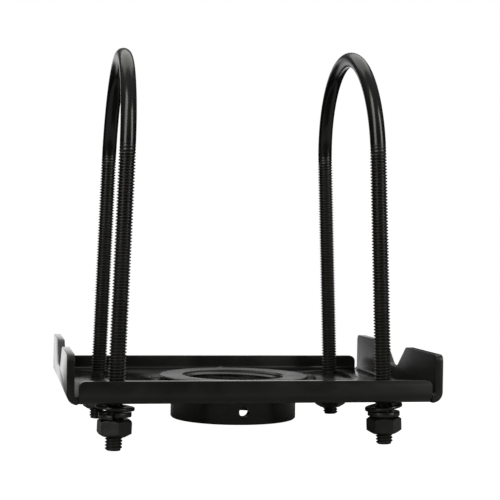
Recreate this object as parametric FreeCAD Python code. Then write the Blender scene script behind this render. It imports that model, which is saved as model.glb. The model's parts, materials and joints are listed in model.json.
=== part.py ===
"""Saddle clamp: a folded plate with a threaded pipe collar, hung from a tube by two U-bolts.

Millimetres. The frame stands on the pipe collar's axis at the plate's underside:
+X runs along the tube that the saddle holds, +Y to the rear, +Z up.
Each sub-part is one named shape, written to parts/NAME.step.
"""

import FreeCAD, Part
import math
import os

from FreeCAD import Vector

# Saddle plate: one folded sheet with a flange on each side
SHEET = 3.4
PLATE_LENGTH = 169.8
PLATE_WIDTH = 132.8
OUTER_BEND = 4.9
INNER_BEND = OUTER_BEND - SHEET
END_FLANGE_WIDTH = 131.0
SIDE_FLANGE_LENGTH = 159.4
END_FLANGE_HEIGHT = 21.8
SIDE_FLANGE_HEIGHT = 10.3
FLANGE_CORNER = 3.0

# V notch that seats the tube, in each end flange
NOTCH_FLOOR = 10.9
NOTCH_FLOOR_HALF = 6.3
NOTCH_SLOPE = 0.75
NOTCH_FLOOR_ROUND = 6.0
NOTCH_LIP_ROUND = 4.5

# Pipe collar, for a 1 1/2 inch threaded pipe
COLLAR_HOLE_CLEARANCE = 0.2
COLLAR_RADIUS = 30.7
COLLAR_FLANGE_RADIUS = 36.5
COLLAR_FLANGE_THICKNESS = 3.1
COLLAR_BOTTOM = -14.2
PIPE_THREAD_RADIUS = 24.1
PIPE_MOUTH_RADIUS = 25.2
COLLAR_EDGE = 0.6
SET_SCREW_RADIUS = 2.55
SET_SCREW_HEIGHT = -8.1
BEAD_RADIUS = 5.0
BEAD_SINK = 2.2
BEAD_CENTRE = 37.6

# U-bolts, with 5/16 inch threads of 18 turns to the inch
ROD_RADIUS = 3.65
THREAD_RADIUS = 3.97
LEG_SPACING = 98.4
THREAD_PAST_TANGENT = 5.5
ROD_END_CHAMFER = 0.9
LEG_HOLE_RADIUS = 4.76
LEG_HOLE_X = 62.0

# Nuts and washers for those threads
NUT_FLATS = 14.1
NUT_HEIGHT = 7.9
NUT_BORE_RADIUS = 4.03
NUT_FACE_RADIUS_LOW = 5.3
NUT_FACE_RADIUS_HIGH = 6.2
NUT_CORNER_ANGLE = 30.0
FLAT_RADIUS = 8.73
FLAT_BORE_RADIUS = 4.37
FLAT_THICKNESS = 1.5
LOCK_RADIUS = 7.45
LOCK_BORE_RADIUS = 4.2
LOCK_THICKNESS = 2.1
LOCK_GAP_ANGLE = 9.0

# How each U-bolt and its hardware stand: lean is the sideways run of a leg for each mm of height
SIDES = {
    "left": {
        "x": -62.3,
        "lean": (0.030, -0.012),
        "arc_centre": 111.1,
        "rod_end": -21.5,
        "nut_top": -7.95,
        "nut_turn": -22.0,
        "lock_bottom": -7.92,
        "lock_start": -104.0,
        "lock_rise": 1.3,
        "flat_centre": -3.0,
        "flat_tilt": 4.8,
    },
    "right": {
        "x": 61.8,
        "lean": (-0.043, -0.012),
        "arc_centre": 114.0,
        "rod_end": -20.1,
        "nut_top": -7.95,
        "nut_turn": -15.0,
        "lock_bottom": -7.92,
        "lock_start": 150.0,
        "lock_rise": 0.45,
        "flat_centre": -3.55,
        "flat_tilt": -9.5,
    },
}
LEGS = {"front": -1.0, "rear": 1.0}
UP = Vector(0, 0, 1)


def prism(points, along):
    """A straight solid from a closed outline of points."""
    return Part.Face(Part.makePolygon(points + points[:1])).extrude(along)


def edges_near(shape, along, keep):
    """The straight edges of a shape that run along a direction and pass the test keep(middle)."""
    found = []
    for edge in shape.Edges:
        if not isinstance(edge.Curve, Part.Line):
            continue
        middle = edge.CenterOfMass
        if abs(edge.tangentAt(edge.FirstParameter).dot(along)) > 0.999 and keep(middle):
            found.append(edge)
    return found


def flange_section(half_width, height):
    """A bent flange's section, as (outward, up) in the plane X = 0 with outward along +Y."""
    centre = half_width - OUTER_BEND
    slant = math.sqrt(0.5)

    def at(y, z):
        return Vector(0, y, z)

    outer = Part.Arc(
        at(centre, 0),
        at(centre + OUTER_BEND * slant, OUTER_BEND * (1 - slant)),
        at(half_width, OUTER_BEND),
    )
    inner = Part.Arc(
        at(half_width - SHEET, OUTER_BEND),
        at(centre + INNER_BEND * slant, OUTER_BEND - INNER_BEND * slant),
        at(centre, SHEET),
    )
    edges = [
        outer.toShape(),
        Part.makeLine(at(half_width, OUTER_BEND), at(half_width, height)),
        Part.makeLine(at(half_width, height), at(half_width - SHEET, height)),
        Part.makeLine(at(half_width - SHEET, height), at(half_width - SHEET, OUTER_BEND)),
        inner.toShape(),
        Part.makeLine(at(centre, SHEET), at(centre, 0)),
    ]
    return Part.Face(Part.Wire(edges))


def bent_flange(half_width, height, length):
    """A flange that turns up on the +Y side, centred on X = 0, with its top corners rounded."""
    flange = flange_section(half_width, height).extrude(Vector(length, 0, 0))
    flange.translate(Vector(-length / 2, 0, 0))
    corners = edges_near(flange, Vector(0, 1, 0), lambda p: p.z > height - 0.01)
    return flange.makeFillet(FLANGE_CORNER, corners)


def notch_cutter():
    """The V notch's outline with rounded floor corners and lips, run along X through both ends."""
    top = END_FLANGE_HEIGHT
    lip = NOTCH_FLOOR_HALF + (top - NOTCH_FLOOR) / NOTCH_SLOPE
    above = top + 20.0
    outline = [
        (-NOTCH_FLOOR_HALF, NOTCH_FLOOR),
        (NOTCH_FLOOR_HALF, NOTCH_FLOOR),
        (lip, top),
        (lip + 40.0, top),
        (lip + 40.0, above),
        (-lip - 40.0, above),
        (-lip - 40.0, top),
        (-lip, top),
    ]
    start = -PLATE_LENGTH
    cutter = prism([Vector(start, y, z) for y, z in outline], Vector(2 * PLATE_LENGTH, 0, 0))
    along = Vector(1, 0, 0)
    cutter = cutter.makeFillet(
        NOTCH_FLOOR_ROUND, edges_near(cutter, along, lambda p: abs(p.z - NOTCH_FLOOR) < 0.01)
    )
    lips = edges_near(
        cutter, along, lambda p: abs(p.z - top) < 0.01 and abs(abs(p.y) - lip) < 0.01
    )
    return cutter.makeFillet(NOTCH_LIP_ROUND, lips)


def saddle_plate():
    """The folded sheet, with its notches, leg holes and collar hole."""
    base_x = PLATE_LENGTH / 2 - OUTER_BEND
    base_y = PLATE_WIDTH / 2 - OUTER_BEND
    plate = Part.makeBox(2 * base_x, 2 * base_y, SHEET, Vector(-base_x, -base_y, 0))
    side = bent_flange(PLATE_WIDTH / 2, SIDE_FLANGE_HEIGHT, SIDE_FLANGE_LENGTH)
    end = bent_flange(PLATE_LENGTH / 2, END_FLANGE_HEIGHT, END_FLANGE_WIDTH)
    flanges = []
    for turn in (0, 180):
        for flange, first in ((side, 0), (end, 90)):
            copy = flange.copy()
            copy.rotate(Vector(), UP, first + turn)
            flanges.append(copy)
    plate = plate.fuse(flanges).removeSplitter()
    plate = plate.cut(notch_cutter())
    holes = [Part.makeCylinder(COLLAR_RADIUS + COLLAR_HOLE_CLEARANCE, SHEET)]
    for x in (-LEG_HOLE_X, LEG_HOLE_X):
        for y in (-LEG_SPACING / 2, LEG_SPACING / 2):
            holes.append(Part.makeCylinder(LEG_HOLE_RADIUS, SHEET, Vector(x, y, 0)))
    return plate.cut(Part.makeCompound(holes))


def pipe_collar():
    """The threaded collar: a barrel through the plate, a flange on it, and the set screw's hole."""
    top = SHEET + COLLAR_FLANGE_THICKNESS
    mouth = PIPE_MOUTH_RADIUS - PIPE_THREAD_RADIUS
    outline = [
        (PIPE_MOUTH_RADIUS, COLLAR_BOTTOM),
        (COLLAR_RADIUS - COLLAR_EDGE, COLLAR_BOTTOM),
        (COLLAR_RADIUS, COLLAR_BOTTOM + COLLAR_EDGE),
        (COLLAR_RADIUS, SHEET),
        (COLLAR_FLANGE_RADIUS, SHEET),
        (COLLAR_FLANGE_RADIUS, top - COLLAR_EDGE),
        (COLLAR_FLANGE_RADIUS - COLLAR_EDGE, top),
        (PIPE_MOUTH_RADIUS, top),
        (PIPE_THREAD_RADIUS, top - mouth),
        (PIPE_THREAD_RADIUS, COLLAR_BOTTOM + mouth),
    ]
    points = [Vector(r, 0, z) for r, z in outline]
    collar = Part.Face(Part.makePolygon(points + points[:1])).revolve(Vector(), UP, 360)
    screw_hole = Part.makeCylinder(
        SET_SCREW_RADIUS, 2 * COLLAR_RADIUS, Vector(0, 0, SET_SCREW_HEIGHT), Vector(0, -1, 0)
    )
    return collar.cut(screw_hole)


def weld_bead():
    """One short bead on the +X side: the cap of a ball sunk in the plate at the collar's rim."""
    bead = Part.makeSphere(BEAD_RADIUS, Vector(BEAD_CENTRE, 0, SHEET - BEAD_SINK))
    below = Part.makeBox(200, 200, 50, Vector(-100, -100, SHEET - 50))
    rim = Part.makeCylinder(COLLAR_FLANGE_RADIUS, 50, Vector(0, 0, SHEET))
    return bead.cut(below).cut(rim)


def collar_weld_beads():
    """Four beads, a quarter of a turn apart."""
    beads = []
    for turn in range(4):
        bead = weld_bead()
        bead.rotate(Vector(), UP, 90 * turn)
        beads += bead.Solids
    return Part.makeCompound(beads)


def leg_direction(side):
    """The unit direction of a side's legs."""
    lean_x, lean_y = side["lean"]
    return Vector(lean_x, lean_y, 1).normalize()


def leg_placement(side, y):
    """Takes a shape built about +Z at the origin to a leg that crosses the plate's underside at y."""
    turn = FreeCAD.Rotation(UP, leg_direction(side))
    return FreeCAD.Placement(Vector(side["x"], y, 0), turn)


def bend_arc(radius, height, start, sweep):
    """A round bar of the given radius along the U's arc, from an angle above +Y."""
    section = Part.Face(
        Part.Wire(Part.makeCircle(radius, Vector(0, LEG_SPACING / 2, height), UP))
    )
    centre = Vector(0, 0, height)
    section.rotate(centre, Vector(1, 0, 0), start)
    return section.revolve(centre, Vector(1, 0, 0), sweep)


def threaded_leg(low, height):
    """A leg's threaded length as a plain bar of the thread's outer size, chamfered at its end."""
    bar = Part.makeCylinder(THREAD_RADIUS, height - low, Vector(0, 0, low))
    rim = [e for e in bar.Edges if isinstance(e.Curve, Part.Circle) and e.CenterOfMass.z < low + 0.01]
    return bar.makeChamfer(ROD_END_CHAMFER, rim)


def u_bolt(side):
    """One U-bolt: a plain bend and two threaded legs, leaning as its side does."""
    height = side["arc_centre"]
    past = THREAD_PAST_TANGENT
    pieces = [
        bend_arc(ROD_RADIUS, height, past, 180 - 2 * past),
        bend_arc(THREAD_RADIUS, height, 0, past),
        bend_arc(THREAD_RADIUS, height, 180 - past, past),
    ]
    for y in (-LEG_SPACING / 2, LEG_SPACING / 2):
        leg = threaded_leg(side["rod_end"], height)
        leg.translate(Vector(0, y, 0))
        pieces.append(leg)
    bolt = pieces[0].fuse(pieces[1:]).removeSplitter()
    bolt.Placement = leg_placement(side, 0)
    return bolt


def hex_nut(side, y):
    """A hex nut with both faces' corners turned off, more at its lower end."""
    corner = NUT_FLATS / math.sqrt(3)
    outline = [
        Vector(corner * math.cos(math.radians(60 * i)), corner * math.sin(math.radians(60 * i)), 0)
        for i in range(6)
    ]
    nut = prism(outline, Vector(0, 0, NUT_HEIGHT))
    slope = math.tan(math.radians(NUT_CORNER_ANGLE))
    low, high = NUT_FACE_RADIUS_LOW, NUT_FACE_RADIUS_HIGH
    profile = [
        (0, 0),
        (low, 0),
        (corner, (corner - low) * slope),
        (corner, NUT_HEIGHT - (corner - high) * slope),
        (high, NUT_HEIGHT),
        (0, NUT_HEIGHT),
    ]
    points = [Vector(r, 0, z) for r, z in profile]
    turned = Part.Face(Part.makePolygon(points + points[:1])).revolve(Vector(), UP, 360)
    nut = nut.common(turned)
    nut = nut.cut(Part.makeCylinder(NUT_BORE_RADIUS, NUT_HEIGHT))
    nut.rotate(Vector(), UP, side["nut_turn"])
    nut.translate(Vector(0, 0, side["nut_top"] - NUT_HEIGHT))
    nut.Placement = leg_placement(side, y).multiply(nut.Placement)
    return nut


def lock_washer(side, y):
    """A split spring washer: a square bar wound through nearly one turn of a left-hand helix."""
    middle = (LOCK_RADIUS + LOCK_BORE_RADIUS) / 2
    share = (360.0 - LOCK_GAP_ANGLE) / 360.0
    rise = side["lock_rise"]
    path = Part.makeHelix(rise / share, rise, middle, 0, True)
    bottom, top = 0.0, LOCK_THICKNESS
    corners = [
        Vector(LOCK_BORE_RADIUS, 0, bottom),
        Vector(LOCK_RADIUS, 0, bottom),
        Vector(LOCK_RADIUS, 0, top),
        Vector(LOCK_BORE_RADIUS, 0, top),
    ]
    sweep = Part.BRepOffsetAPI.MakePipeShell(Part.Wire(path))
    sweep.setFrenetMode(True)
    sweep.add(Part.makePolygon(corners + corners[:1]))
    sweep.build()
    sweep.makeSolid()
    washer = Part.Solid(sweep.shape())
    washer.rotate(Vector(), UP, side["lock_start"])
    washer.translate(Vector(0, 0, side["lock_bottom"]))
    washer.Placement = leg_placement(side, y).multiply(washer.Placement)
    return washer


def flat_washer(side, y):
    """A flat washer, cocked on its leg by the side's tilt about Y."""
    low = -FLAT_THICKNESS / 2
    washer = Part.makeCylinder(FLAT_RADIUS, FLAT_THICKNESS, Vector(0, 0, low)).cut(
        Part.makeCylinder(FLAT_BORE_RADIUS, FLAT_THICKNESS, Vector(0, 0, low))
    )
    washer.rotate(Vector(), Vector(0, 1, 0), side["flat_tilt"])
    washer.translate(Vector(side["x"], y, 0) + leg_direction(side) * side["flat_centre"])
    return washer


def all_nodes():
    """Every sub-part by its name."""
    nodes = {
        "saddle_plate": saddle_plate(),
        "pipe_collar": pipe_collar(),
        "collar_weld_beads": collar_weld_beads(),
    }
    for side_name, side in SIDES.items():
        nodes[f"u_bolt_{side_name}"] = u_bolt(side)
        for leg_name, sign in LEGS.items():
            y = sign * LEG_SPACING / 2
            leg = f"{side_name}_{leg_name}"
            nodes[f"hex_nut_{leg}"] = hex_nut(side, y)
            nodes[f"lock_washer_{leg}"] = lock_washer(side, y)
            nodes[f"flat_washer_{leg}"] = flat_washer(side, y)
    return nodes


def main():
    os.makedirs("parts", exist_ok=True)
    for name, shape in all_nodes().items():
        if not shape.isValid() or not shape.Solids:
            raise ValueError(f"{name} isn't a valid solid")
        shape.exportStep(f"parts/{name}.step")
        box = shape.BoundBox
        print(
            f"{name}: {len(shape.Solids)} solid(s), {shape.Volume / 1000:.2f} cm3, "
            f"x {box.XMin:.1f}..{box.XMax:.1f} y {box.YMin:.1f}..{box.YMax:.1f} "
            f"z {box.ZMin:.1f}..{box.ZMax:.1f}"
        )


main()
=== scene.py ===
"""Looks of the saddle clamp: coated plate and collar, two threaded U-bolts and their hardware.

Shapes are made in millimetres and brought to metres as each piece is finished.
"""

import json
import math

import bmesh
import bpy
from mathutils import Matrix, Vector, noise


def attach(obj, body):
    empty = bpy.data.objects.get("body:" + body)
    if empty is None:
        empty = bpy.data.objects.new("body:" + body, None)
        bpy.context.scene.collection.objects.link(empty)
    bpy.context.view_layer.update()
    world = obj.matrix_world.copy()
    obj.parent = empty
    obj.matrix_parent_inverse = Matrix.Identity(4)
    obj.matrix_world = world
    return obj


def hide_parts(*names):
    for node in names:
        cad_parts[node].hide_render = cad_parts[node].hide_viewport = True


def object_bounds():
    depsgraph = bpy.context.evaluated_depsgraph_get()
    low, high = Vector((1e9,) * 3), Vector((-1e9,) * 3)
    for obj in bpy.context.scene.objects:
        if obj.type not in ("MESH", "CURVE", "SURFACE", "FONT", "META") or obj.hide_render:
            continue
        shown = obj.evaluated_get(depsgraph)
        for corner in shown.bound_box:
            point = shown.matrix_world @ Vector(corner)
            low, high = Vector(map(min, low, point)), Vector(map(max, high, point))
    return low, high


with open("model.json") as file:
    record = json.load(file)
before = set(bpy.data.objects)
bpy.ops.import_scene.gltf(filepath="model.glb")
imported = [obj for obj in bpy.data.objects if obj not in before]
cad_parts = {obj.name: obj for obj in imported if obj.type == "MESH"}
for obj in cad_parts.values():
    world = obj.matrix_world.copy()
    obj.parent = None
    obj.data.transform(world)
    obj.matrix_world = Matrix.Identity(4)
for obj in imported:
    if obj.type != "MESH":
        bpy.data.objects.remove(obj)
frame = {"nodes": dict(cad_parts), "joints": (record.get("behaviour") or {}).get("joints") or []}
cad_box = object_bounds()
joints = {joint["name"]: joint for joint in frame["joints"]}

MM = 0.001
UP = Vector((0, 0, 1))
SIDES = ("left", "right")
LEGS = ("front", "rear")

# The camera, in metres and degrees: yaw turns it towards +X, pitch tips it down
CAMERA_AT = (-0.11523, -0.62269, 0.06988)
CAMERA_YAW = 11.125
CAMERA_PITCH = 0.177
CAMERA_ROLL = 0.984
CAMERA_LENS = 92.66

# The studio, in metres and watts: each softbox has a place, an aim, a size, a power and a colour
FLOOR_FRONT = -0.25
FLOOR_BACK = 0.12
FLOOR_HALF_WIDTH = 1.2
FLOOR_GREY = 0.3
ROOM_DARK = 0.010
PANEL_GLOW = 0.9
PANEL_HALF_WIDTH = 0.27
PANEL_TOP = 0.12
ROOM_ABOVE = 0.25
SOFTBOXES = (
    ("overhead", (0.0, 0.80, 1.3), (0, 0, 0.1), (1.8, 1.2), 8, (0.97, 1.0, 0.93)),
    ("left_strip", (-0.79, -0.73, 0.72), (0, 0, 0.12), (0.55, 1.5), 11.5, (1.0, 0.96, 0.90)),
    ("right_strip", (0.74, -0.68, 0.46), (0, 0, 0.1), (0.36, 0.9), 5.5, (0.97, 1.0, 0.93)),
)

# The plate and the collar
PLATE_EDGE = 0.45
COLLAR_EDGE = 0.25
SHEET = 3.4
COLLAR_THREAD = {"pitch": 2.209, "wall": 24.3, "crest": 22.95, "low": -12.6, "high": 5.0}
SCREW_HOLE = {"height": -8.1, "radius": 3.4}
BEAD_SIZE = (4.7, 4.7, 3.4)
BEAD_CENTRE = 37.6
BEAD_LUMP = 0.28

# The U-bolts
ROD_RADIUS = 3.65
BEND_RADIUS = 49.2
THREAD_PITCH = 25.4 / 18
THREAD_CREST = 3.94
THREAD_ROOT = 3.22
THREAD_TOOTH = ((0.0, "root"), (0.16, "root"), (0.5, "crest"), (0.66, "crest"))
THREAD_PAST_TANGENT = 5.5
THREAD_FADE = 6.0
# Painted highlight: the pale colour painted on the thread crests in place of their glints
THREAD_SHEEN = 0.020
THREAD_DULLNESS = 0.10
ROD_END_RADIUS = 3.05
ROUND_STEPS = 32

# The nuts and washers
NUT_FLATS = 14.1
NUT_HEIGHT = 7.9
NUT_BORE = 4.03
NUT_SINK = 0.5
NUT_FACE_LOW = 5.3
NUT_FACE_HIGH = 6.2
NUT_CONE = math.tan(math.radians(30))
NUT_SOFTNESS = 0.16
NUT_TURN = {"left": -22.0, "right": -15.0}
FLAT_WASHER = {"bore": 4.37, "rim": 8.73, "thickness": 1.5, "edge": 0.35}
LOCK_WASHER = {"bore": 4.2, "rim": 7.45, "thickness": 2.1, "edge": 0.3, "gap": 9.0}
LOCK_START = {"left": -104.0, "right": 150.0}
LOCK_RISE = {"left": 1.3, "right": 0.45}
LOCK_BELOW_JOINT = 1.0


def soft_minimum(a, b, softness):
    """The smaller of two lengths, rounded where they meet."""
    overlap = max(softness - abs(a - b), 0.0) / softness
    return min(a, b) - overlap * overlap * softness / 4


def outline(bm, points, closed=True):
    """Edges through (radius, height) points in the plane Y = 0."""
    verts = [bm.verts.new((r, 0, z)) for r, z in points]
    pairs = list(zip(verts, verts[1:] + verts[:1])) if closed else list(zip(verts, verts[1:]))
    return verts + [bm.edges.new(pair) for pair in pairs]


def turn_on_lathe(bm, geom, steps):
    """Spins an outline once round Z and closes the seam."""
    bmesh.ops.spin(
        bm, geom=geom, cent=(0, 0, 0), axis=UP, dvec=(0, 0, 0),
        angle=2 * math.pi, steps=steps, use_merge=True,
    )
    bmesh.ops.remove_doubles(bm, verts=bm.verts, dist=1e-4)


def rounded_section(bore, rim, thickness, edge):
    """The outline of a washer's section with its four corners rounded."""
    bm = bmesh.new()
    corners = [bm.verts.new(p) for p in
               ((bore, 0, 0), (rim, 0, 0), (rim, 0, thickness), (bore, 0, thickness))]
    bm.faces.new(corners)
    bmesh.ops.bevel(bm, geom=corners, offset=edge, segments=3, profile=0.5,
                    affect="VERTICES", material=-1)
    bmesh.ops.delete(bm, geom=bm.faces[:], context="FACES_ONLY")
    return bm


def close_ends(bm):
    """Fills every open end with a face."""
    open_edges = [edge for edge in bm.edges if edge.is_boundary]
    bmesh.ops.holes_fill(bm, edges=open_edges, sides=0)


def finish_piece(name, bm, body, node, material, place=None, crease=35.0):
    """Puts a shape in place in metres, gives it its finish and hangs it on its CAD body."""
    bmesh.ops.transform(bm, matrix=Matrix.Scale(MM, 4) @ (place or Matrix()), verts=bm.verts)
    bmesh.ops.recalc_face_normals(bm, faces=bm.faces)
    return keep_piece(name, bm, body, node, material, crease)


def keep_piece(name, bm, body, node, material, crease):
    """Turns a shape in metres into a shown piece."""
    mesh = bpy.data.meshes.new(name)
    bm.to_mesh(mesh)
    bm.free()
    mesh.polygons.foreach_set("use_smooth", [True] * len(mesh.polygons))
    mesh.set_sharp_from_angle(angle=math.radians(crease))
    mesh.materials.append(material)
    piece = bpy.data.objects.new(name, mesh)
    bpy.context.scene.collection.objects.link(piece)
    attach(piece, body)
    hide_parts(node)
    return piece


def leg_place(side, leg):
    """Stands a shape made about +Z on a leg, from the plate's underside, in millimetres."""
    joint = joints[f"nut_turn_{side}_{leg}"]
    axis = Vector(joint["axis"])
    at = Vector(joint["pos_m"]) / MM
    foot = at - axis * (at.z / axis.z)
    return Matrix.Translation(foot) @ UP.rotation_difference(axis).to_matrix().to_4x4()


def height_range(node, place):
    """A CAD node's lowest and highest point along a place's own Z, in millimetres."""
    into = place.inverted()
    heights = [(into @ (v.co / MM)).z for v in frame["nodes"][node].data.vertices]
    return min(heights), max(heights)


def along_leg(joint_name):
    """How far up its leg a joint stands, from the plate's underside, in millimetres."""
    joint = joints[joint_name]
    return joint["pos_m"][2] / MM / joint["axis"][2]


# Shapes ---------------------------------------------------------------------------------------


def softened_copy(node, edge, crease):
    """A merged copy of a CAD node, in metres, with its sharp edges rounded."""
    bm = bmesh.new()
    bm.from_mesh(frame["nodes"][node].data)
    bmesh.ops.remove_doubles(bm, verts=bm.verts, dist=1e-6)
    bmesh.ops.dissolve_limit(
        bm, angle_limit=math.radians(0.6), verts=bm.verts, edges=bm.edges, use_dissolve_boundaries=False
    )
    sharp = [e for e in bm.edges if e.is_manifold and e.calc_face_angle() > math.radians(crease)]
    bmesh.ops.bevel(
        bm, geom=sharp, offset=edge * MM, offset_type="OFFSET", segments=3, profile=0.5,
        affect="EDGES", clamp_overlap=True, material=-1,
    )
    return bm


def collar_thread():
    """The ridge of the pipe thread inside the collar, sunk in its wall."""
    size = COLLAR_THREAD
    pitch, steps = size["pitch"], 96
    turns = (size["high"] - size["low"]) / pitch
    bm = bmesh.new()
    ridge = outline(bm, [
        (size["wall"], 0), (size["crest"], pitch * 0.42),
        (size["crest"], pitch * 0.52), (size["wall"], pitch * 0.94),
    ])
    bmesh.ops.spin(
        bm, geom=ridge, cent=(0, 0, 0), axis=UP, dvec=(0, 0, pitch / steps),
        angle=2 * math.pi * turns, steps=int(steps * turns), use_merge=False,
    )
    close_ends(bm)
    bmesh.ops.translate(bm, vec=(0, 0, size["low"]), verts=bm.verts)
    drilled = [
        face for face in bm.faces
        if face.calc_center_median().y < 0
        and math.hypot(face.calc_center_median().x, face.calc_center_median().z - SCREW_HOLE["height"])
        < SCREW_HOLE["radius"]
    ]
    bmesh.ops.delete(bm, geom=drilled, context="FACES")
    close_ends(bm)
    return bm


def weld_beads():
    """Four lumpy beads round the collar's flange, sunk in the plate."""
    bm = bmesh.new()
    for turn in range(4):
        made = bmesh.ops.create_uvsphere(bm, u_segments=40, v_segments=28, radius=1.0)["verts"]
        for v in made:
            lump = noise.noise(v.co * 1.7 + Vector((7.0 * turn, 0, 0)))
            v.co *= 1 + BEAD_LUMP * lump / 3
        bmesh.ops.scale(bm, vec=BEAD_SIZE, verts=made)
        bmesh.ops.translate(bm, vec=(BEAD_CENTRE, 0, SHEET - 0.1), verts=made)
        bmesh.ops.rotate(bm, cent=(0, 0, 0), verts=made,
                         matrix=Matrix.Rotation(math.radians(90 * turn), 3, "Z"))
    return bm


def thread_depth(z, shoulder):
    """How far a thread is cut at a height, from none at its shoulder to all."""
    return min(max((shoulder - z) / (THREAD_FADE * THREAD_PITCH), 0.0), 1.0)


def threaded_leg(bm, low, tangent):
    """A leg's thread round Z, from its chamfered end up past the bend's tangent, then bent."""
    radius = {"root": THREAD_ROOT, "crest": THREAD_CREST}
    shoulder = tangent + math.radians(THREAD_PAST_TANGENT) * BEND_RADIUS
    high = shoulder + THREAD_PITCH
    teeth = int((high - low) / THREAD_PITCH) + 3
    start = low - THREAD_PITCH
    points = [
        (radius[level], start + (tooth + share) * THREAD_PITCH)
        for tooth in range(teeth) for share, level in THREAD_TOOTH
    ]
    leg = bmesh.new()
    bmesh.ops.spin(
        leg, geom=outline(leg, points, closed=False), cent=(0, 0, 0), axis=UP,
        dvec=(0, 0, THREAD_PITCH / ROUND_STEPS), angle=2 * math.pi, steps=ROUND_STEPS,
        use_merge=False,
    )
    bmesh.ops.remove_doubles(leg, verts=leg.verts, dist=1e-3)
    for height, outward in ((low, -UP), (high, UP)):
        everything = leg.verts[:] + leg.edges[:] + leg.faces[:]
        bmesh.ops.bisect_plane(leg, geom=everything, plane_co=(0, 0, height),
                               plane_no=outward, clear_outer=True, dist=1e-5)
    close_ends(leg)
    # Each vertex gets an amount of painted highlight: most on the crests, least in the roots, and less
    # where the thread fades out
    crest_sheen = []
    for v in leg.verts:
        out = math.hypot(v.co.x, v.co.y)
        depth = thread_depth(v.co.z, shoulder)
        crest_sheen.append(depth ** 0.5 * (0.25 + 0.75 * (out - THREAD_ROOT) / (THREAD_CREST - THREAD_ROOT)))
        reach = ROD_RADIUS - 0.03 + (out - ROD_RADIUS) * depth
        share = min(reach, ROD_END_RADIUS + 1.1 * max(v.co.z - low, 0.0)) / out
        v.co.x *= share
        v.co.y *= share
    for v in leg.verts:
        v.co.y += BEND_RADIUS
        turn = max(v.co.z - tangent, 0.0) / BEND_RADIUS
        if turn:
            out = v.co.y
            v.co.y, v.co.z = out * math.cos(turn), tangent + out * math.sin(turn)
    made = bpy.data.meshes.new("leg")
    leg.to_mesh(made)
    leg.free()
    before = len(bm.verts)
    bm.from_mesh(made)
    bpy.data.meshes.remove(made)
    bm.verts.ensure_lookup_table()
    added = bm.verts[before:]
    layer = bm.verts.layers.float["painted_crest_sheen"]
    for v, amount in zip(added, crest_sheen):
        v[layer] = max(amount, 0.0)
    return added


def u_bolt(low, tangent):
    """A U-bolt standing on Z: a plain bend between two threaded legs."""
    bm = bmesh.new()
    # A layer for the painted highlight on the thread crests
    bm.verts.layers.float.new("painted_crest_sheen")
    start = math.radians(THREAD_PAST_TANGENT)
    ring = bmesh.ops.create_circle(bm, cap_ends=False, radius=ROD_RADIUS, segments=ROUND_STEPS)["verts"]
    bmesh.ops.translate(bm, vec=(0, BEND_RADIUS, 0), verts=ring)
    bmesh.ops.rotate(bm, cent=(0, 0, 0), matrix=Matrix.Rotation(start, 3, "X"), verts=ring)
    bmesh.ops.spin(
        bm, geom=bm.verts[:] + bm.edges[:], cent=(0, 0, 0), axis=(1, 0, 0), dvec=(0, 0, 0),
        angle=math.pi - 2 * start, steps=120, use_merge=False,
    )
    close_ends(bm)
    bmesh.ops.translate(bm, vec=(0, 0, tangent), verts=bm.verts)
    threaded_leg(bm, low, tangent)
    other = threaded_leg(bm, low, tangent)
    bmesh.ops.rotate(bm, cent=(0, 0, 0), matrix=Matrix.Rotation(math.pi, 3, "Z"), verts=other)
    return bm


def hex_nut():
    """A nut on z = 0: a turned blank whose wall is drawn in to six flats and two cones."""
    bm = bmesh.new()
    corner = NUT_FLATS / math.sqrt(3)
    top = NUT_HEIGHT
    fine = [0.14 * i for i in range(14)]
    levels = fine + [0.5 * top] + [top - z for z in reversed(fine)]
    points = [(NUT_BORE, NUT_SINK), (NUT_BORE + NUT_SINK, 0), (NUT_FACE_LOW - 0.2, 0)]
    points += [(corner + 1, z) for z in levels]
    points += [(NUT_FACE_HIGH - 0.2, top), (NUT_BORE + NUT_SINK, top), (NUT_BORE, top - NUT_SINK)]
    turn_on_lathe(bm, outline(bm, points), 132)
    for v in bm.verts:
        out = math.hypot(v.co.x, v.co.y)
        if out < corner:
            continue
        turn = math.atan2(v.co.y, v.co.x) % (math.pi / 3) - math.pi / 6
        flat = NUT_FLATS / 2 / math.cos(turn)
        cone = min(NUT_FACE_LOW + v.co.z / NUT_CONE, NUT_FACE_HIGH + (top - v.co.z) / NUT_CONE)
        reach = soft_minimum(flat, cone, NUT_SOFTNESS)
        v.co.x *= reach / out
        v.co.y *= reach / out
    return bm


def lock_washer(rise):
    """A split spring washer on z = 0, wound through nearly one turn of a left-hand helix."""
    size = LOCK_WASHER
    bm = rounded_section(size["bore"], size["rim"], size["thickness"], size["edge"])
    steps = 84
    bmesh.ops.spin(
        bm, geom=bm.verts[:] + bm.edges[:], cent=(0, 0, 0), axis=UP,
        dvec=(0, 0, rise / steps), angle=-math.radians(360 - size["gap"]), steps=steps,
        use_merge=False,
    )
    close_ends(bm)
    return bm


def flat_washer():
    """A flat washer about its own middle."""
    size = FLAT_WASHER
    bm = rounded_section(size["bore"], size["rim"], size["thickness"], size["edge"])
    turn_on_lathe(bm, bm.verts[:] + bm.edges[:], 96)
    bmesh.ops.translate(bm, vec=(0, 0, -size["thickness"] / 2), verts=bm.verts)
    return bm


# Finishes -------------------------------------------------------------------------------------


def new_group(name, inputs, outputs):
    """An empty shader group with its sockets, each as (name, kind, value)."""
    tree = bpy.data.node_groups.new(name, "ShaderNodeTree")
    for direction, sockets in (("INPUT", inputs), ("OUTPUT", outputs)):
        for label, kind, value in sockets:
            socket = tree.interface.new_socket(
                name=label, in_out=direction, socket_type=f"NodeSocket{kind}"
            )
            if value is not None:
                socket.default_value = value
    return tree, tree.nodes.new("NodeGroupInput"), tree.nodes.new("NodeGroupOutput")


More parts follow.
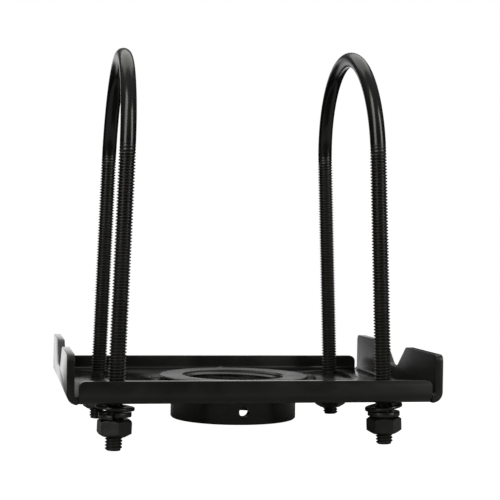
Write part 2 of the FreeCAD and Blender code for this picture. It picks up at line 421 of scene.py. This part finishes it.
def add_node(tree, kind, links=(), **settings):
    """A node with some of its properties set and some of its inputs linked or given."""
    made = tree.nodes.new(kind)
    for name, value in settings.items():
        setattr(made, name, value)
    for label, value in dict(links).items():
        if isinstance(value, bpy.types.NodeSocket):
            tree.links.new(value, made.inputs[label])
        else:
            made.inputs[label].default_value = value
    return made


def remap(tree, value, start, end, low=0.0, high=1.0, blend="LINEAR"):
    """A value's range from start to end brought to low to high, and held there outside it."""
    made = add_node(tree, "ShaderNodeMapRange", {
        "Value": value, "From Min": start, "From Max": end, "To Min": low, "To Max": high,
    }, interpolation_type=blend)
    return made.outputs[0]


def maths(tree, operation, *values):
    """The result of one sum on sockets or numbers."""
    made = add_node(tree, "ShaderNodeMath", dict(enumerate(values)), operation=operation)
    return made.outputs[0]


def sprayed_skin_group():
    """Orange peel, fine specks and broad smudges of a sprayed coat."""
    tree, given, out = new_group(
        "sprayed_skin",
        [("Peel Scale", "Float", 900.0), ("Speck Scale", "Float", 3200.0), ("Smudge Scale", "Float", 45.0)],
        [("Height", "Float", None), ("Specks", "Float", None), ("Smudges", "Float", None)],
    )
    place = add_node(tree, "ShaderNodeTexCoord").outputs["Object"]
    peel = add_node(tree, "ShaderNodeTexNoise", {
        "Vector": place, "Scale": given.outputs["Peel Scale"], "Detail": 2.0, "Roughness": 0.45,
    })
    speck = add_node(tree, "ShaderNodeTexNoise", {
        "Vector": place, "Scale": given.outputs["Speck Scale"], "Detail": 1.0, "Roughness": 0.6,
    })
    smudge = add_node(tree, "ShaderNodeTexNoise", {
        "Vector": place, "Scale": given.outputs["Smudge Scale"],
        "Detail": 4.0, "Roughness": 0.6, "Distortion": 0.6,
    })
    mixed = maths(tree, "MULTIPLY_ADD", speck.outputs[0], 0.25, peel.outputs[0])
    tree.links.new(mixed, out.inputs["Height"])
    tree.links.new(remap(tree, speck.outputs[0], 0.62, 0.74), out.inputs["Specks"])
    tree.links.new(remap(tree, smudge.outputs[0], 0.36, 0.64), out.inputs["Smudges"])
    return tree


def painted_top_sheen_group():
    """Painted sheen: faces that look up turn paler in patches, standing in for light reflected off the
    tops.
    """
    tree, given, out = new_group(
        "painted_top_sheen", [("Amount", "Float", 0.3), ("Patch Scale", "Float", 70.0)],
        [("Mask", "Float", None)],
    )
    place = add_node(tree, "ShaderNodeTexCoord").outputs["Object"]
    normal = add_node(tree, "ShaderNodeNewGeometry").outputs["Normal"]
    facing = add_node(tree, "ShaderNodeSeparateXYZ", {"Vector": normal})
    patch = add_node(tree, "ShaderNodeTexNoise", {
        "Vector": place, "Scale": given.outputs["Patch Scale"], "Detail": 6.0, "Roughness": 0.7,
    })
    upward = remap(tree, facing.outputs["Z"], 0.7, 1.0)
    both = maths(tree, "MULTIPLY", upward, remap(tree, patch.outputs[0], 0.35, 0.75))
    tree.links.new(maths(tree, "MULTIPLY", both, given.outputs["Amount"]), out.inputs["Mask"])
    return tree


def weld_ripple_group():
    """Overlapping ripples across a bead, with spatter pits."""
    tree, given, out = new_group(
        "weld_ripple", [("Ripple Scale", "Float", 420.0), ("Pit Scale", "Float", 1500.0)],
        [("Height", "Float", None)],
    )
    place = add_node(tree, "ShaderNodeTexCoord").outputs["Object"]
    ripple = add_node(tree, "ShaderNodeTexWave", {
        "Vector": place, "Scale": given.outputs["Ripple Scale"],
        "Distortion": 3.0, "Detail": 2.0, "Detail Scale": 1.4,
    }, wave_type="RINGS", rings_direction="SPHERICAL")
    pit = add_node(tree, "ShaderNodeTexNoise", {
        "Vector": place, "Scale": given.outputs["Pit Scale"], "Detail": 3.0,
    })
    height = maths(tree, "MULTIPLY_ADD", pit.outputs[0], 0.7, ripple.outputs["Fac"])
    tree.links.new(height, out.inputs["Height"])
    return tree


def grey(value, warmth=0.0):
    """A near-black grey, warm above zero and cool below."""
    return (value * (1 + warmth), value, value * (1 - warmth), 1.0)


def coated_material(name, groups, dark, light, rough, relief, coat=0.0, top_sheen=0.0, scales=None, ripple=0.0,
                    crest_sheen=None, grazing=1.0):
    """A coated metal: colour and gloss drift with smudges, and relief is in millimetres."""
    material = bpy.data.materials.new(name)
    material.use_nodes = True
    tree = material.node_tree
    shader = tree.nodes["Principled BSDF"]
    skin = add_node(tree, "ShaderNodeGroup", node_tree=groups["skin"])
    for label, value in (scales or {}).items():
        skin.inputs[label].default_value = value
    colour = add_node(tree, "ShaderNodeMix", {"Factor": skin.outputs["Smudges"]}, data_type="RGBA")
    colour.inputs["A"].default_value, colour.inputs["B"].default_value = grey(dark), grey(light)
    colour_out = colour.outputs["Result"]
    rough_out = remap(tree, skin.outputs["Smudges"], 0.0, 1.0, *rough)
    # Painted highlight: where the named attribute is high, the thread crests take the pale THREAD_SHEEN
    # colour in place of their glints, and the threads get a little more roughness
    if crest_sheen:
        crest_sheen_amount = add_node(tree, "ShaderNodeAttribute", attribute_name=crest_sheen).outputs["Fac"]
        crest_sheen_mix = add_node(tree, "ShaderNodeMix", {"Factor": remap(tree, crest_sheen_amount, 0.4, 1.0)}, data_type="RGBA")
        tree.links.new(colour_out, crest_sheen_mix.inputs["A"])
        crest_sheen_mix.inputs["B"].default_value = grey(THREAD_SHEEN, 0.05)
        colour_out = crest_sheen_mix.outputs["Result"]
        rough_out = maths(tree, "ADD", remap(tree, crest_sheen_amount, 0.0, 0.25, high=THREAD_DULLNESS), rough_out)
    # Painted sheen: upward faces are mixed toward a paler grey in patches, standing in for light reflected
    # off the tops, and their roughness rises there too
    if top_sheen:
        top_sheen_node = add_node(tree, "ShaderNodeGroup", node_tree=groups["top_sheen"])
        top_sheen_node.inputs["Amount"].default_value = top_sheen
        top_sheen_mix = add_node(tree, "ShaderNodeMix", {"Factor": top_sheen_node.outputs["Mask"]}, data_type="RGBA")
        tree.links.new(colour_out, top_sheen_mix.inputs["A"])
        top_sheen_mix.inputs["B"].default_value = grey(0.11, 0.04)
        colour_out = top_sheen_mix.outputs["Result"]
        rough_out = maths(tree, "MULTIPLY_ADD", top_sheen_node.outputs["Mask"], 0.5, rough_out)
    if grazing < 1.0:
        slant = add_node(tree, "ShaderNodeLayerWeight").outputs["Facing"]
        rough_out = maths(tree, "MULTIPLY", rough_out, remap(tree, slant, 0.86, 0.96, 1.0, grazing))
    height = skin.outputs["Height"]
    if ripple:
        waves = add_node(tree, "ShaderNodeGroup", node_tree=groups["ripple"])
        height = maths(tree, "MULTIPLY_ADD", waves.outputs["Height"], ripple, height)
    bump = add_node(tree, "ShaderNodeBump", {"Height": height, "Strength": 1.0, "Distance": relief * MM})
    tree.links.new(colour_out, shader.inputs["Base Color"])
    tree.links.new(rough_out, shader.inputs["Roughness"])
    tree.links.new(bump.outputs[0], shader.inputs["Normal"])
    shader.inputs["Coat Weight"].default_value = coat
    shader.inputs["Coat Roughness"].default_value = 0.08
    return material


groups = {"skin": sprayed_skin_group(), "top_sheen": painted_top_sheen_group(), "ripple": weld_ripple_group()}
# The plate and the collar carry a faint painted sheen on their upward faces
powder_coat = coated_material("satin_powder_coat", groups, 0.004, 0.008, (0.30, 0.38), 0.012, top_sheen=0.05,
                              grazing=0.2)
collar_coat = coated_material("collar_powder_coat", groups, 0.004, 0.008, (0.24, 0.32), 0.010, top_sheen=0.06)
cut_thread = coated_material("cut_pipe_thread", groups, 0.02, 0.04, (0.20, 0.30), 0.010)
weld_coat = coated_material("coated_weld", groups, 0.005, 0.010, (0.28, 0.38), 0.05, ripple=1.6)
gloss_black = coated_material(
    "gloss_black_rod", groups, 0.004, 0.006, (0.18, 0.25), 0.004,
    scales={"Peel Scale": 700.0, "Smudge Scale": 60.0}, crest_sheen="painted_crest_sheen",
)
nut_black = coated_material(
    "satin_black_nut", groups, 0.006, 0.011, (0.26, 0.36), 0.008,
    scales={"Peel Scale": 1400.0, "Smudge Scale": 160.0},
)
washer_black = coated_material(
    "satin_black_washer", groups, 0.006, 0.012, (0.26, 0.38), 0.008,
    scales={"Peel Scale": 1500.0, "Smudge Scale": 180.0},
)


# Pieces ---------------------------------------------------------------------------------------

keep_piece("folded_plate", softened_copy("saddle_plate", PLATE_EDGE, 40),
           "saddle", "saddle_plate", powder_coat, 35)
keep_piece("collar_barrel", softened_copy("pipe_collar", COLLAR_EDGE, 25),
           "saddle", "pipe_collar", collar_coat, 35)
finish_piece("collar_thread", collar_thread(), "saddle", "pipe_collar", cut_thread, crease=50)
finish_piece("weld_beads", weld_beads(), "saddle", "collar_weld_beads", weld_coat, crease=180)

for side in SIDES:
    feet = [leg_place(side, leg) for leg in LEGS]
    middle = Matrix.Translation((feet[1].translation - feet[0].translation) / 2) @ feet[0]
    low, high = height_range(f"u_bolt_{side}", middle)
    finish_piece(f"threaded_u_bolt_{side}", u_bolt(low, high - BEND_RADIUS - ROD_RADIUS), f"u_bolt_{side}",
                 f"u_bolt_{side}", gloss_black, middle)
    for leg, foot in zip(LEGS, feet):
        where = f"{side}_{leg}"
        nut_foot = along_leg(f"nut_turn_{where}") - NUT_HEIGHT / 2
        turned = Matrix.Rotation(math.radians(NUT_TURN[side]), 4, "Z")
        finish_piece(f"nut_{where}", hex_nut(), f"hex_nut_{where}", f"hex_nut_{where}",
                     nut_black, foot @ Matrix.Translation((0, 0, nut_foot)) @ turned)
        lock_foot = along_leg(f"lock_washer_turn_{where}") - LOCK_BELOW_JOINT
        started = Matrix.Rotation(math.radians(LOCK_START[side]), 4, "Z")
        finish_piece(f"spring_washer_{where}", lock_washer(LOCK_RISE[side]), f"lock_washer_{where}",
                     f"lock_washer_{where}", washer_black,
                     foot @ Matrix.Translation((0, 0, lock_foot)) @ started)
        flat = joints[f"flat_washer_turn_{where}"]
        cocked = UP.rotation_difference(Vector(flat["axis"])).to_matrix().to_4x4()
        finish_piece(f"plain_washer_{where}", flat_washer(), f"flat_washer_{where}",
                     f"flat_washer_{where}", washer_black,
                     Matrix.Translation(Vector(flat["pos_m"]) / MM) @ cocked)


# Studio ---------------------------------------------------------------------------------------


def studio_camera():
    """The camera, level but for a slight roll."""
    yaw, pitch = math.radians(CAMERA_YAW), math.radians(CAMERA_PITCH)
    ahead = Vector((math.sin(yaw) * math.cos(pitch), math.cos(yaw) * math.cos(pitch), -math.sin(pitch)))
    camera = bpy.data.objects.new("camera", bpy.data.cameras.new("camera"))
    camera.data.lens = CAMERA_LENS
    camera.data.sensor_width = 36
    camera.data.clip_start, camera.data.clip_end = 0.02, 50
    camera.matrix_world = (
        Matrix.Translation(CAMERA_AT)
        @ ahead.to_track_quat("-Z", "Y").to_matrix().to_4x4()
        @ Matrix.Rotation(math.radians(CAMERA_ROLL), 4, "Z")
    )
    bpy.context.scene.collection.objects.link(camera)
    bpy.context.scene.camera = camera


def soft_light(name, at, aim, size, power, colour=(1, 1, 1)):
    """A rectangular softbox that looks at a point."""
    lamp = bpy.data.lights.new(name, "AREA")
    lamp.shape = "RECTANGLE"
    lamp.size, lamp.size_y = size
    lamp.energy, lamp.color = power, colour
    light = bpy.data.objects.new(name, lamp)
    towards = Vector(aim) - Vector(at)
    light.matrix_world = Matrix.Translation(at) @ towards.to_track_quat("-Z", "Y").to_matrix().to_4x4()
    bpy.context.scene.collection.objects.link(light)


def studio_floor(level):
    """A pale floor that stays white to the camera and loses its shadows."""
    bm = bmesh.new()
    bmesh.ops.create_grid(bm, x_segments=1, y_segments=1, size=1.0)
    bmesh.ops.scale(bm, vec=(FLOOR_HALF_WIDTH, (FLOOR_BACK - FLOOR_FRONT) / 2, 1), verts=bm.verts)
    bmesh.ops.translate(bm, vec=(0, (FLOOR_BACK + FLOOR_FRONT) / 2, level), verts=bm.verts)
    mesh = bpy.data.meshes.new("studio_floor")
    bm.to_mesh(mesh)
    bm.free()
    paper = bpy.data.materials.new("white_paper")
    paper.use_nodes = True
    tree = paper.node_tree
    shader = tree.nodes["Principled BSDF"]
    shader.inputs["Base Color"].default_value = (FLOOR_GREY, FLOOR_GREY, FLOOR_GREY, 1)
    shader.inputs["Roughness"].default_value = 0.9
    shader.inputs["Specular IOR Level"].default_value = 0.1
    shader.inputs["Emission Color"].default_value = (1, 1, 1, 1)
    seen = add_node(tree, "ShaderNodeLightPath").outputs["Is Camera Ray"]
    tree.links.new(seen, shader.inputs["Emission Strength"])
    mesh.materials.append(paper)
    floor = bpy.data.objects.new("studio_floor", mesh)
    bpy.context.scene.collection.objects.link(floor)


def studio_world():
    """A white surround to the camera, and to the object a dark room with a bright panel behind."""
    world = bpy.data.worlds.new("studio")
    world.use_nodes = True
    tree = world.node_tree
    direction = add_node(tree, "ShaderNodeTexCoord").outputs["Generated"]
    facing = add_node(tree, "ShaderNodeSeparateXYZ", {"Vector": direction})
    sideways = maths(tree, "ABSOLUTE", facing.outputs["X"])
    within = remap(tree, sideways, PANEL_HALF_WIDTH - 0.02, PANEL_HALF_WIDTH + 0.05, 1.0, 0.0, "SMOOTHSTEP")
    behind = remap(tree, facing.outputs["Y"], 0.6, 0.85, 0.0, PANEL_GLOW, "SMOOTHSTEP")
    below = remap(tree, facing.outputs["Z"], PANEL_TOP, PANEL_TOP + 0.2, 1.0, 0.0, "SMOOTHSTEP")
    above = remap(tree, facing.outputs["Z"], 0.15, 0.9, ROOM_DARK, ROOM_ABOVE)
    room = maths(tree, "MULTIPLY_ADD", within, maths(tree, "MULTIPLY", behind, below), above)
    seen = add_node(tree, "ShaderNodeLightPath").outputs["Is Camera Ray"]
    tree.links.new(maths(tree, "MAXIMUM", room, seen), tree.nodes["Background"].inputs["Strength"])
    tree.nodes["Background"].inputs["Color"].default_value = (1, 1, 1, 1)
    bpy.context.scene.world = world


studio_camera()
studio_floor(cad_box[0].z - 0.0005)
studio_world()
for light in SOFTBOXES:
    soft_light(*light)
bpy.context.scene.view_settings.view_transform = "Standard"
